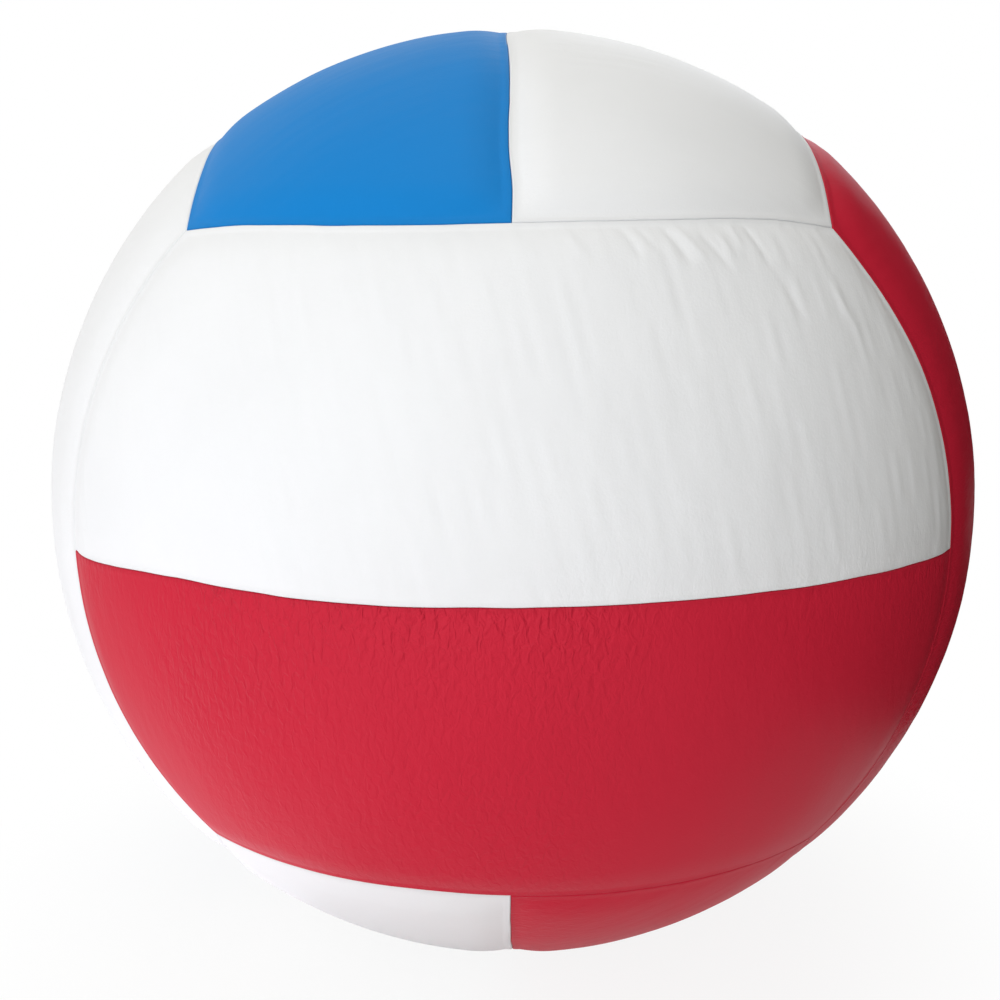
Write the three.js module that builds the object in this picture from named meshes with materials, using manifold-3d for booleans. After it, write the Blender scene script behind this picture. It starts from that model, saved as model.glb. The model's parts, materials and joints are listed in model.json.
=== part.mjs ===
// A twelve-panel volleyball. A butyl bladder holds the air, a thread winding keeps it round, a rubber
// carcass covers the thread, and twelve backed strips of synthetic leather are glued over the carcass
// edge to edge. A rubber valve comes out through all the layers in the middle of one panel at the back.
// Millimetres, +Z up, with the origin at the centre of the ball. The front of the ball looks along -Y.

import * as THREE from 'three';
import { mergeVertices } from 'three/addons/utils/BufferGeometryUtils.js';
import Module from 'manifold-3d';

const wasm = await Module();
wasm.setup();

// Layers, from the outside in
const BALL_DIAMETER = 203.7; // across the crowns of the panels, which is 640 round them
const SKIN_THICKNESS = 1.2; // synthetic leather of a panel
const SEAM_DEPTH = 1.0; // how far the skin turns down at a seam
const SEAM_SHOULDER = 4.0; // width of the border of a panel that turns down
const SEAM_GAP = 0.3; // between neighbouring panels, and between their backings
const BACKING_EDGE_THICKNESS = 0.8; // foam and cloth backing where it is skived at a seam
const CARCASS_THICKNESS = 1.0;
const WINDING_THICKNESS = 0.6;
const BLADDER_THICKNESS = 0.8;
const BOND_LINE = 0.3; // glue between two layers

// Valve
const CORE_DIAMETER = 5.0; // body of the self-sealing core
const CORE_SETBACK = 1.0; // how far the core stops short of the inner end of the housing
const CORE_LIP = 1.0; // how far the head of the core stands out round its body
const CORE_HEAD_THICKNESS = 1.4;
const CORE_CLEARANCE = 0.3; // round the core and under its head
const NEEDLE_FUNNEL_DIAMETER = 2.6;
const NEEDLE_FUNNEL_DEPTH = 1.2;
const NEEDLE_CHANNEL_DIAMETER = 1.2;
const CORE_SEAL_LENGTH = 4.0; // inner end of the core, which stays shut until a needle parts it
const HOUSING_RIM = 1.7; // wall of the housing round the head of the core
const HOUSING_CLEARANCE = 0.3; // round the housing in the holes of the layers
const HOUSING_PATCH_DIAMETER = 26.0; // patch of the housing that is bonded inside the bladder
const HOUSING_PATCH_THICKNESS = 1.4;
const HOUSING_REACH = 4.0; // how far the stem of the housing reaches into the bladder past the patch
const VALVE_RECESS = 0.4; // how deep the face of the valve lies below the crown of its panel

// Facets
const SHELL_ROWS = 3; // across one panel's share of a whole layer; twice as many along it
const PANEL_ROWS = 2 * SHELL_ROWS; // across a panel, so that the layers under it nest in its facets
const VALVE_FACETS = 28;

// Radii that follow from the layers
const crownRadius = BALL_DIAMETER / 2;
const seamRadius = crownRadius - SEAM_DEPTH;
const backingInnerRadius = seamRadius - SKIN_THICKNESS - BOND_LINE - BACKING_EDGE_THICKNESS;
const carcassRadius = backingInnerRadius - BOND_LINE;
const windingRadius = carcassRadius - CARCASS_THICKNESS - BOND_LINE;
const bladderRadius = windingRadius - WINDING_THICKNESS - BOND_LINE;
const bladderInnerRadius = bladderRadius - BLADDER_THICKNESS;

// Sizes that follow from the valve
const coreRadius = CORE_DIAMETER / 2;
const coreHeadRadius = coreRadius + CORE_LIP;
const housingBoreRadius = coreRadius + CORE_CLEARANCE;
const housingSeatRadius = coreHeadRadius + CORE_CLEARANCE;
const housingRadius = housingSeatRadius + HOUSING_RIM;
const valveHoleRadius = housingRadius + HOUSING_CLEARANCE;
const valveFaceRadius = crownRadius - VALVE_RECESS;
const patchRadius = bladderInnerRadius - BOND_LINE;
const housingEndRadius = patchRadius - HOUSING_PATCH_THICKNESS - HOUSING_REACH;
const coreEndRadius = housingEndRadius + CORE_SETBACK;
const channelEndRadius = coreEndRadius + CORE_SEAL_LENGTH;

// Directions from the centre of the ball to its six faces
const FRONT = new THREE.Vector3(0, -1, 0);
const BACK = new THREE.Vector3(0, 1, 0);
const RIGHT = new THREE.Vector3(1, 0, 0);
const LEFT = new THREE.Vector3(-1, 0, 0);
const TOP = new THREE.Vector3(0, 0, 1);
const BOTTOM = new THREE.Vector3(0, 0, -1);

// Finish of each material
const WHITE_LEATHER = { color: 0xe9ebee, roughness: 0.5 };
const RED_LEATHER = { color: 0xb3182f, roughness: 0.5 };
const BLUE_LEATHER = { color: 0x1f7fc8, roughness: 0.5 };
const BACKING_FOAM = { color: 0xcfc8b8, roughness: 0.95 };
const CARCASS_RUBBER = { color: 0x9a8468, roughness: 0.9 };
const WINDING_THREAD = { color: 0xe3ddcc, roughness: 0.85 };
const BLADDER_RUBBER = { color: 0x1d1d1f, roughness: 0.6 };
const VALVE_RUBBER = { color: 0x2a2a2c, roughness: 0.7 };
const CORE_RUBBER = { color: 0x18181a, roughness: 0.65 };

// Each panel with the face it lies on and the side of that face's middle seam it takes. The three red
// panels meet at one corner of the ball, and the three blue ones at the corner opposite.
const PANELS = [
  { name: 'front_upper', face: FRONT, side: TOP, skin: WHITE_LEATHER },
  { name: 'front_lower', face: FRONT, side: BOTTOM, skin: RED_LEATHER },
  { name: 'back_upper', face: BACK, side: TOP, skin: BLUE_LEATHER },
  { name: 'back_lower', face: BACK, side: BOTTOM, skin: WHITE_LEATHER },
  { name: 'right_front', face: RIGHT, side: FRONT, skin: RED_LEATHER },
  { name: 'right_back', face: RIGHT, side: BACK, skin: WHITE_LEATHER },
  { name: 'left_front', face: LEFT, side: FRONT, skin: WHITE_LEATHER },
  { name: 'left_back', face: LEFT, side: BACK, skin: BLUE_LEATHER },
  { name: 'top_left', face: TOP, side: LEFT, skin: BLUE_LEATHER },
  { name: 'top_right', face: TOP, side: RIGHT, skin: WHITE_LEATHER },
  { name: 'bottom_left', face: BOTTOM, side: LEFT, skin: WHITE_LEATHER },
  { name: 'bottom_right', face: BOTTOM, side: RIGHT, skin: RED_LEATHER },
];
const VALVE_PANEL = PANELS.find((panel) => panel.name === 'back_upper');

// On a ball of radius 1 every edge of a panel lies in a plane this far from the centre, apart from the
// middle seams, which lie in planes through the centre. Three such planes meet at each corner.
const EDGE_PLANE = 1 / Math.sqrt(3);
const EDGE_CIRCLE = Math.sqrt(1 - EDGE_PLANE * EDGE_PLANE);
const CORNER_TURN = Math.PI / 4; // from the middle of a long edge to its corner, round that circle

// Turns the panel that is modelled, front and upper, to its place on the ball.
function panelTurn({ face, side }) {
  const along = new THREE.Vector3().crossVectors(side, face);
  return new THREE.Matrix4().makeBasis(along, face.clone().negate(), side);
}

// The direction at a longitude from the front and a latitude from the middle seam.
function direction(longitude, latitude) {
  const level = Math.cos(latitude);
  return new THREE.Vector3(level * Math.sin(longitude), -level * Math.cos(longitude), Math.sin(latitude));
}

// Latitudes of the rows of a panel, from its middle seam to its long edge. They are spaced so that they
// meet the columns of the panel beside it. A shoulder adds a row that far in from each edge.
function rowLatitudes(rows, inset, shoulder) {
  const latitudes = [];
  for (let row = 0; row <= rows; row++) {
    latitudes.push(Math.asin(EDGE_CIRCLE * Math.sin((CORNER_TURN * row) / rows)));
  }
  latitudes[0] = Math.asin(inset);
  latitudes[rows] = Math.asin(EDGE_PLANE - inset);
  if (shoulder > 0) {
    latitudes.splice(1, 0, latitudes[0] + shoulder);
    latitudes.splice(rows + 1, 0, latitudes[rows + 1] - shoulder);
  }
  return latitudes;
}

// Longitudes of the points along one row of a panel, from end to end.
function columnLongitudes(columns, latitude, inset, shoulder) {
  const level = Math.cos(latitude);
  const end = Math.acos((EDGE_PLANE + inset) / level);
  const longitudes = [];
  for (let column = -columns; column <= columns; column++) {
    longitudes.push((end * column) / columns);
  }
  if (shoulder > 0) {
    longitudes.splice(1, 0, shoulder / level - end);
    longitudes.splice(longitudes.length - 1, 0, end - shoulder / level);
  }
  return longitudes;
}

// Rows of directions over one panel. The inset keeps the panel off its seams and the shoulder is the
// width of its border, both in lengths on a ball of radius 1.
function panelGrid(rows, inset = 0, shoulder = 0) {
  return rowLatitudes(rows, inset, shoulder).map((latitude) =>
    columnLongitudes(rows, latitude, inset, shoulder).map((longitude) => direction(longitude, latitude)),
  );
}

// Triangles of a grid of points, facing out of the ball.
function gridTriangles(rows, columns) {
  const triangles = [];
  for (let row = 0; row < rows - 1; row++) {
    for (let column = 0; column < columns - 1; column++) {
      const corner = row * columns + column;
      triangles.push(corner, corner + 1, corner + columns + 1);
      triangles.push(corner, corner + columns + 1, corner + columns);
    }
  }
  return triangles;
}

// Indices of the points round the border of a grid, counter-clockwise from outside the ball.
function gridBorder(rows, columns) {
  const border = [];
  for (let column = 0; column < columns - 1; column++) {
    border.push(column);
  }
  for (let row = 0; row < rows - 1; row++) {
    border.push(row * columns + columns - 1);
  }
  for (let column = columns - 1; column > 0; column--) {
    border.push((rows - 1) * columns + column);
  }
  for (let row = rows - 1; row > 0; row--) {
    border.push(row * columns);
  }
  return border;
}

function indexedGeometry(positions, triangles) {
  const geometry = new THREE.BufferGeometry();
  geometry.setAttribute('position', new THREE.Float32BufferAttribute(positions, 3));
  geometry.setIndex(triangles);
  geometry.computeVertexNormals();
  return geometry;
}

// A closed slab over a panel grid, between an outer and an inner surface. Each surface has one radius
// in the field of the panel and one at its edge.
function slabGeometry(grid, outer, inner) {
  const rows = grid.length;
  const columns = grid[0].length;
  const count = rows * columns;
  const border = gridBorder(rows, columns);
  const onBorder = new Set(border);
  const directions = grid.flat();
  const positions = [];
  for (const surface of [outer, inner]) {
    directions.forEach((point, index) => {
      const radius = onBorder.has(index) ? surface.edge : surface.field;
      positions.push(point.x * radius, point.y * radius, point.z * radius);
    });
  }
  const outerTriangles = gridTriangles(rows, columns);
  const innerTriangles = outerTriangles.map((index) => index + count).reverse();
  const wallTriangles = border.flatMap((from, step) => {
    const to = border[(step + 1) % border.length];
    return [from, from + count, to + count, from, to + count, to];
  });
  return indexedGeometry(positions, [...outerTriangles, ...innerTriangles, ...wallTriangles]);
}

// A closed ball made of twelve panel grids that share their edges.
function ballGeometry(radius) {
  const grid = panelGrid(SHELL_ROWS);
  const triangles = gridTriangles(grid.length, grid[0].length);
  const positions = [];
  const indices = [];
  for (const panel of PANELS) {
    const first = positions.length / 3;
    const turn = panelTurn(panel);
    for (const point of grid.flat()) {
      const turned = point.clone().applyMatrix4(turn).multiplyScalar(radius);
      positions.push(turned.x, turned.y, turned.z);
    }
    indices.push(...triangles.map((index) => first + index));
  }
  return mergedGeometry(indexedGeometry(positions, indices));
}

// The same surface with one vertex at each point, and nothing but positions.
function mergedGeometry(geometry) {
  const bare = geometry.clone();
  bare.deleteAttribute('normal');
  bare.deleteAttribute('uv');
  return mergeVertices(bare);
}

function solidOf(geometry) {
  const merged = mergedGeometry(geometry);
  const vertProperties = new Float32Array(merged.attributes.position.array);
  const triVerts = new Uint32Array(merged.index.array);
  return new wasm.Manifold(new wasm.Mesh({ numProp: 3, vertProperties, triVerts }));
}

function geometryOf(solid) {
  const { vertProperties, triVerts } = solid.getMesh();
  return indexedGeometry([...vertProperties], [...triVerts]);
}

// A rod that leaves the hole for the valve along an axis from the centre. It is as long as the ball's
// radius and half of it stands out of the ball, so that it goes through all the layers.
function valveHole(axis) {
  const rod = new THREE.CylinderGeometry(valveHoleRadius, valveHoleRadius, crownRadius, VALVE_FACETS);
  rod.translate(0, crownRadius, 0);
  rod.applyQuaternion(new THREE.Quaternion().setFromUnitVectors(new THREE.Vector3(0, 1, 0), axis));
  return solidOf(rod);
}

// A turned ring or plug from a profile of radius and distance from the centre of the ball, listed
// counter-clockwise.
function turnedGeometry(profile) {
  const points = profile.map(([radius, height]) => new THREE.Vector2(radius, height));
  return new THREE.LatheGeometry(points, VALVE_FACETS);
}

// Where the valve comes out of the panel that is modelled, and out of the ball.
const valveAxisOnPanel = direction(0, Math.asin(EDGE_PLANE) / 2);
const valveAxis = valveAxisOnPanel.clone().applyMatrix4(panelTurn(VALVE_PANEL));

// The turned-down leather skin of a panel.
function skinGeometry() {
  const grid = panelGrid(PANEL_ROWS, SEAM_GAP / 2 / crownRadius, SEAM_SHOULDER / crownRadius);
  const outer = { field: crownRadius, edge: seamRadius };
  const inner = { field: crownRadius - SKIN_THICKNESS, edge: seamRadius - SKIN_THICKNESS };
  return slabGeometry(grid, outer, inner);
}

// The backing under the skin, which thins towards the edges of its panel.
function backingGeometry() {
  const grid = panelGrid(PANEL_ROWS, SEAM_GAP / 2 / crownRadius);
  const cover = SKIN_THICKNESS + BOND_LINE;
  const outer = { field: crownRadius - cover, edge: seamRadius - cover };
  const inner = { field: backingInnerRadius, edge: backingInnerRadius };
  return slabGeometry(grid, outer, inner);
}

// A whole layer of the ball, with the hole for the valve.
function shellGeometry(radius, thickness) {
  const inside = solidOf(ballGeometry(radius - thickness));
  return geometryOf(solidOf(ballGeometry(radius)).subtract(inside).subtract(valveHole(valveAxis)));
}

// The stem of the valve housing with the seat and bore for the core.
function housingStemGeometry() {
  const seat = valveFaceRadius - CORE_HEAD_THICKNESS - CORE_CLEARANCE;
  return turnedGeometry([
    [housingBoreRadius, housingEndRadius],
    [housingRadius, housingEndRadius],
    [housingRadius, valveFaceRadius],
    [housingSeatRadius, valveFaceRadius],
    [housingSeatRadius, seat],
    [housingBoreRadius, seat],
    [housingBoreRadius, housingEndRadius],
  ]);
}

// The patch of the valve housing, a curved disc under the inside of the bladder. Its inner rim lies
// within the wall of the stem, which it is moulded to.
function housingPatchSolid(toValve) {
  const rim = (housingBoreRadius + housingRadius) / 2;
  const reach = HOUSING_PATCH_DIAMETER / 2;
  const disc = turnedGeometry([
    [rim, patchRadius - reach],
    [reach, patchRadius - reach],
    [reach, patchRadius + reach],
    [rim, patchRadius + reach],
    [rim, patchRadius - reach],
  ]);
  const outside = solidOf(ballGeometry(patchRadius).applyQuaternion(toValve));
  const inside = solidOf(ballGeometry(patchRadius - HOUSING_PATCH_THICKNESS).applyQuaternion(toValve));
  return solidOf(disc).intersect(outside).subtract(inside);
}

function housingGeometry(toValve) {
  return geometryOf(solidOf(housingStemGeometry()).add(housingPatchSolid(toValve)));
}

// The self-sealing core: a plug with a head, and a funnel and a blind channel for the needle.
function coreGeometry() {
  const head = valveFaceRadius - CORE_HEAD_THICKNESS;
  return turnedGeometry([
    [0, coreEndRadius],
    [coreRadius, coreEndRadius],
    [coreRadius, head],
    [coreHeadRadius, head],
    [coreHeadRadius, valveFaceRadius],
    [NEEDLE_FUNNEL_DIAMETER / 2, valveFaceRadius],
    [NEEDLE_CHANNEL_DIAMETER / 2, valveFaceRadius - NEEDLE_FUNNEL_DEPTH],
    [NEEDLE_CHANNEL_DIAMETER / 2, channelEndRadius],
    [0, channelEndRadius],
  ]);
}

function namedMesh(name, geometry, finish) {
  const material = new THREE.MeshStandardMaterial({ ...finish, metalness: 0 });
  const mesh = new THREE.Mesh(geometry, material);
  mesh.name = name;
  return mesh;
}

// Cuts the valve hole out of a skin or backing if its panel holds the valve.
function withValveHole(geometry, panel) {
  if (panel !== VALVE_PANEL) {
    return geometry;
  }
  return geometryOf(solidOf(geometry).subtract(valveHole(valveAxisOnPanel)));
}

function buildCover() {
  const cover = new THREE.Group();
  for (const panel of PANELS) {
    const place = new THREE.Group();
    place.setRotationFromMatrix(panelTurn(panel));
    const skin = withValveHole(skinGeometry(), panel);
    const backing = withValveHole(backingGeometry(), panel);
    place.add(namedMesh(`panel_${panel.name}`, skin, panel.skin));
    place.add(namedMesh(`backing_${panel.name}`, backing, BACKING_FOAM));
    cover.add(place);
  }
  return cover;
}

function buildInside() {
  const inside = new THREE.Group();
  inside.add(namedMesh('carcass', shellGeometry(carcassRadius, CARCASS_THICKNESS), CARCASS_RUBBER));
  inside.add(namedMesh('thread_winding', shellGeometry(windingRadius, WINDING_THICKNESS), WINDING_THREAD));
  inside.add(namedMesh('bladder', shellGeometry(bladderRadius, BLADDER_THICKNESS), BLADDER_RUBBER));
  return inside;
}

function buildValve() {
  const valve = new THREE.Group();
  valve.quaternion.setFromUnitVectors(new THREE.Vector3(0, 1, 0), valveAxis);
  const toValve = valve.quaternion.clone().invert();
  valve.add(namedMesh('valve_housing', housingGeometry(toValve), VALVE_RUBBER));
  valve.add(namedMesh('valve_core', coreGeometry(), CORE_RUBBER));
  return valve;
}

const volleyball = new THREE.Group();
volleyball.add(buildCover(), buildInside(), buildValve());

export default volleyball;
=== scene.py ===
"""A twelve-panel volleyball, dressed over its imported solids.

The leather panels, their backings and the valve are modelled anew over the solids, and the layers inside
keep theirs. Metres, in the frame of the solids: +Z up, with the front of the ball towards -Y.
"""

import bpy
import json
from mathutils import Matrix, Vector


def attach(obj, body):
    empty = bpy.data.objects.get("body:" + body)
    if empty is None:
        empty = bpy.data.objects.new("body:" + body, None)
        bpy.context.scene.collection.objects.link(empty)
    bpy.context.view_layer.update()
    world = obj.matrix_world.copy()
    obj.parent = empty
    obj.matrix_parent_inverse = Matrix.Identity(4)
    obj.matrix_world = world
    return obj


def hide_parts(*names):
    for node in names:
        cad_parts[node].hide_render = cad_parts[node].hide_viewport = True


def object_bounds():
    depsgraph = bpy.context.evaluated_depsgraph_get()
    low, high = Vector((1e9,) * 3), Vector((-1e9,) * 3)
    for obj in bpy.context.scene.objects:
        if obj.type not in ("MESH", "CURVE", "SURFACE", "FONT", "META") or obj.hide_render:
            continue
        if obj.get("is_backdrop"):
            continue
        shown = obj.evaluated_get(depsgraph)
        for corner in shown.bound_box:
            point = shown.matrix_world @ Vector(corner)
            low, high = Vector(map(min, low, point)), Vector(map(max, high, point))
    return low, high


bl_info = {
    "name": "Twelve-Panel Volleyball",
    "version": (1, 0, 0),
    "blender": (4, 5, 0),
    "location": "View3D > Sidebar > Volleyball",
    "description": "Leather panels, backings, valve and studio of a laminated volleyball",
    "category": "Mesh",
}

import itertools
import json
import math
from collections import namedtuple

import bmesh
import bpy
import numpy as np
from bpy.props import FloatProperty, FloatVectorProperty, PointerProperty
from mathutils import Vector

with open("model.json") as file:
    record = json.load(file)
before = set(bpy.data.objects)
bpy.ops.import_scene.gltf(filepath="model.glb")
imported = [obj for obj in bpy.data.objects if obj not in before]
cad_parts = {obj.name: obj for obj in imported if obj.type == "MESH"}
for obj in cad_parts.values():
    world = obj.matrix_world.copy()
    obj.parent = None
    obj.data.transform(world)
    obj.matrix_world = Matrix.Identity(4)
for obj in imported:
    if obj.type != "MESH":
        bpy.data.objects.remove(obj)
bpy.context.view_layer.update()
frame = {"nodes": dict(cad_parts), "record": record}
MM = 0.001

# Directions from the centre of the ball to its six faces
FRONT, BACK = (0, -1, 0), (0, 1, 0)
RIGHT, LEFT = (1, 0, 0), (-1, 0, 0)
TOP, BOTTOM = (0, 0, 1), (0, 0, -1)

# Each panel with the face it lies on, the side of that face's middle seam it takes, and its leather
Panel = namedtuple("Panel", "name face side leather")
PANELS = (
    Panel("front_upper", FRONT, TOP, "white"),
    Panel("front_lower", FRONT, BOTTOM, "red"),
    Panel("back_upper", BACK, TOP, "blue"),
    Panel("back_lower", BACK, BOTTOM, "white"),
    Panel("right_front", RIGHT, FRONT, "red"),
    Panel("right_back", RIGHT, BACK, "white"),
    Panel("left_front", LEFT, FRONT, "white"),
    Panel("left_back", LEFT, BACK, "blue"),
    Panel("top_left", TOP, LEFT, "blue"),
    Panel("top_right", TOP, RIGHT, "white"),
    Panel("bottom_left", BOTTOM, LEFT, "white"),
    Panel("bottom_right", BOTTOM, RIGHT, "red"),
)
VALVE_PANEL = "back_upper"

# On a ball of radius 1 the edges of a panel lie in planes this far from the centre, apart from the middle
# seam, which lies in a plane through it
EDGE_PLANE = 1 / math.sqrt(3)

# Steps between the points of a panel: fine at its edges, growing by a ratio to the field's
EDGE_STEP = 0.05 * MM
STEP_GROWTH = 1.24
LEATHER_STEP = 0.8 * MM
FOLDED_STEP = 0.65 * MM
BACKING_STEP = 2.5 * MM

# Waves of the seams: their length, their share of the wander and the seed of their noise
SEAM_WAVES = ((25 * MM, 1.0, 11), (6 * MM, 0.35, 31))

# Where the seams were pulled aside as the panels were laid: the place on a ball of radius 1, the shift and
# how far round the place it reaches, in millimetres
Pull = namedtuple("Pull", "place shift reach")
SEAM_PULLS = (
    Pull((-0.80, -0.61, 0), (0, 0, -0.7), 16),
    Pull((-0.54, -0.84, 0), (0, 0, 0.8), 20),
    Pull((0.80, -0.61, 0), (0, 0, -0.6), 16),
    Pull((0.77, -0.577, 0.28), (-0.4, -0.6, -0.15), 22),
    Pull((0.64, -0.577, 0.51), (-0.9, -1.6, -0.7), 16),
    Pull((-0.46, -0.675, 0.577), (0.2, 0.25, 0.45), 20),
    Pull((0.15, -0.80, 0.577), (0, 0.3, 0.45), 20),
    Pull((0.44, -0.69, 0.577), (-0.4, 0.65, 1.1), 20),
    Pull((0, -0.775, 0.632), (0.5, 0, 0), 8),
    Pull((0, -0.3, 0.954), (-0.5, 0, 0), 20),
    Pull((-0.46, -0.675, -0.577), (-0.15, -0.25, 0.45), 20),
    Pull((-0.13, -0.81, -0.577), (0, -0.5, 0.7), 22),
    Pull((0.577, -0.1, 0.81), (1.6, 0, -1.1), 30),
    Pull((-0.577, -0.1, 0.81), (-2.3, 0, -1.6), 30),
)

# How far the border turns down at the middle seam of a face, as a share of its fall at the other seams
FLAT_SEAM_SHARES = {FRONT: 0.3}
PLAIN_SEAM_SHARE = 0.9

# Where the seams lie deeper or shallower than elsewhere: the place, the share of their depth there and how
# far round the place it reaches, in millimetres
Depth = namedtuple("Depth", "place share reach")
SEAM_DEPTHS = (
    Depth((0, -0.66, 0.75), 1.8, 24),
    Depth((0.52, -0.62, -0.59), 0.2, 46),
)

# Folds that the skin of a panel was drawn into beside its outer long edge, in millimetres: where a fold
# starts and ends, along the strip and in from that edge, its height, which is negative for a crease, and
# its half width
Fold = namedtuple("Fold", "start end height width")
FOLDS = {
    "front_upper": (
        Fold((8.6, 1.8), (11.8, 8.0), 0.13, 1.8),
        Fold((17.4, 0.4), (21.8, 8.6), -0.21, 2.0),
        Fold((20.4, 1.0), (24.6, 7.0), -0.15, 1.3),
        Fold((24.5, 0.4), (30.9, 10.0), -0.28, 2.1),
        Fold((27.2, 0.6), (33.4, 9.6), 0.17, 1.7),
        Fold((31.6, 2.4), (38.0, 10.9), -0.19, 1.5),
        Fold((35.4, 2.2), (38.0, 8.6), 0.14, 1.5),
        Fold((38.0, 0.6), (40.5, 7.2), 0.17, 1.5),
        Fold((41.1, 0.6), (45.8, 10.8), -0.25, 1.8),
        Fold((45.2, 9.4), (52.9, 20.8), -0.16, 2.4),
        Fold((57.6, 9.8), (65.6, 23.0), 0.17, 2.8),
    ),
}
FOLD_TAPER = 0.3  # share of a fold's length over which it rises from each of its ends

# Streaks that run across a strip and slow swells of its field: their sizes along and across it, their lean
# and the share of their height on a panel
STREAK_CELL = (1.7 * MM, 8 * MM)
STREAK_LEAN = 0.25
STREAK_SHARES = {"front_upper": 1.0}
PLAIN_STREAK_SHARE = 0.5
SWELL_CELL = 17 * MM
RELIEF_BORDER = 0.8 * MM  # width at an edge over which folds, streaks and swells rise
RELIEF_SEED = 100  # of the first panel's streaks and swells

# How crinkled each leather is, the size of a crinkle along and across the strip, and where they lie: to
# full depth beside the middle seam and near a place along the strip, to a share of it far from there, and
# in patches
CRINKLE_SHARES = {"white": 0.12, "red": 1.0, "blue": 0.12}
CRINKLE_CELL = (1.15 * MM, 2.3 * MM)
CRINKLE_DETAIL = 2.0
CRINKLE_BEND = 0.5
CRINKLE_REACH = 12 * MM
FAR_CRINKLE_SHARE = 0.14
CRINKLE_PLACES = {"front_upper": 40 * MM, "front_lower": 24 * MM}
CRINKLE_HALF_LENGTH = 28 * MM
CRINKLE_FADE = 25 * MM
END_CRINKLE_SHARE = 0.2
CRINKLE_PATCH = 20 * MM
CRINKLE_PATCH_CONTRAST = 0.6
CRINKLE_PATCH_SEED = 400  # of the first panel's patches

# The size of the grain, how uneven the leather is in colour and in roughness, and the width of the strip
# of painted shade at a seam
GRAIN_CELL = 0.5 * MM
BLOTCH_CELL = 22 * MM
BLOTCH_DETAIL = 3.0
BLOTCH_TONE = 0.06
BLOTCH_ROUGHNESS = 0.12
SEAM_PAINTED_SHADE_WIDTH = 1.3 * MM

# Bloom and grit of moulded rubber
BLOOM_CELL = 3 * MM
BLOOM_DETAIL = 4.0
BLOOM_TONE = 0.5
BLOOM_ROUGHNESS = 0.25
GRIT_CELL = 0.25 * MM
GRIT_DEPTH = 0.02 * MM

# The rubbers of the valve and the inner layers
Rubber = namedtuple("Rubber", "colour roughness")
RUBBERS = {
    "valve_rubber": Rubber((0.022, 0.022, 0.024), 0.6),
    "core_rubber": Rubber((0.010, 0.010, 0.011), 0.6),
    "carcass_rubber": Rubber((0.33, 0.23, 0.14), 0.85),
    "bladder_rubber": Rubber((0.012, 0.012, 0.013), 0.55),
}

# The cloth of the backings: the cell and scale of its weave, the height of a thread, its colour, the
# brightness that its top adds to that of the gaps and the brightness of the gaps, which is painted shade,
# and its roughness
CLOTH_CELL, CLOTH_SCALE = 0.5 * MM, 0.5
CLOTH_HEIGHT = 0.08 * MM
CLOTH_COLOUR = (0.62, 0.58, 0.48)
CLOTH_SHADE_CONTRAST, CLOTH_GAP_SHADE = 0.25, 0.8
CLOTH_ROUGHNESS = 0.95

# The thread of the winding: the scale, bends and detail of its waves, and the rest as for the cloth,
# with painted shade between its threads
WINDING_SCALE, WINDING_BEND, WINDING_DETAIL = 250.0, 1.5, 1.0
WINDING_HEIGHT = 0.2 * MM
WINDING_COLOUR = (0.77, 0.72, 0.60)
WINDING_SHADE_CONTRAST, WINDING_GAP_SHADE = 0.45, 0.6
WINDING_ROUGHNESS = 0.8

# The valve's housing: the glue between its patch and the bladder, the patch, and the roundings of its edges
PATCH_GLUE = 0.35 * MM
PATCH_THICKNESS = 1.4 * MM
PATCH_BEVEL = 0.6 * MM
PATCH_STEPS = 8
BORE_ROUNDING = 0.2 * MM
SEAT_ROUNDING = 0.15 * MM
MOUTH_ROUNDING = 0.35 * MM
RIM_ROUNDING = 0.6 * MM
STEM_ROUNDING = 0.5 * MM

# The valve's core: the channel for the needle, how far it stops before the end, the funnel, and the
# roundings of its edges, from the end up to the face and down into the funnel
CHANNEL_RADIUS = 0.6 * MM
CHANNEL_STOP = 4 * MM
FUNNEL_DEPTH = 1.2 * MM
PLUG_ROUNDING = 0.5 * MM
NECK_ROUNDING = 0.15 * MM
SHOULDER_ROUNDING = 0.2 * MM
HEAD_ROUNDING = 0.4 * MM
FUNNEL_ROUNDING = 0.25 * MM
CHANNEL_ROUNDING = 0.2 * MM

# Making the valve: how near to a face the points of a solid count as on it, how near points are joined, and
# from where to where its hole is cut, in crown radii
ON_FACE = 0.1 * MM
JOINED = 0.001 * MM
VALVE_CUT = (0.8, 1.2)

STRIP_MAP = "strip"  # a panel's map, in metres along and across its strip
SEAM_VALUE = "seam_distance"  # metres from the nearest edge of the panel
CRINKLE_VALUE = "crinkle"  # share of the full depth of the crinkles

# The lights: their places and the lengths of their sides. All face the ball but the low one, which lies
# just over the floor at the left and shines up
KEY_PLACE, KEY_SIZE = (-0.41, -0.98, 0.26), 0.8
TOP_PLACE, TOP_SIZE = (0, -0.19, 1.1), 0.8
BACK_PLACE, BACK_SIZE = (0.45, 0.95, 0.45), 0.8
LOW_PLACE, LOW_SIZE = (-0.30, -0.26, -0.095), 0.5
LOW_FACING = (*LOW_PLACE[:2], 1)
PLAIN_LIGHT = (1, 1, 1)

# The floor: half its width, how much of its white shows in the ball's shadow and away from it, and its
# paper
FLOOR_HALF = 3.0
FLOOR_SHADOW = (0.12, 0.18)  # distances from the centre of the ball
FLOOR_WHITE = (0.88, 1.0)
PAPER_COLOUR = (0.9, 0.9, 0.9)
PAPER_ROUGHNESS = 0.9

# The dark cards of the studio at the right. One stands: its place, its span from front to back and its top.
# One lies before it: its near edge, its span and its lift off the floor
CARD_PLACE = 0.5
CARD_SPAN = (-0.35, 0.8)
CARD_TOP = 0.75
LOW_CARD_PLACE = 0.15
LOW_CARD_SPAN = (-0.45, 0.35)
LOW_CARD_LIFT = 1 * MM
CARD_COLOUR = (0.02, 0.02, 0.02)
CARD_FIBRE = 5 * MM
CARD_TONE = 0.2

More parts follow.
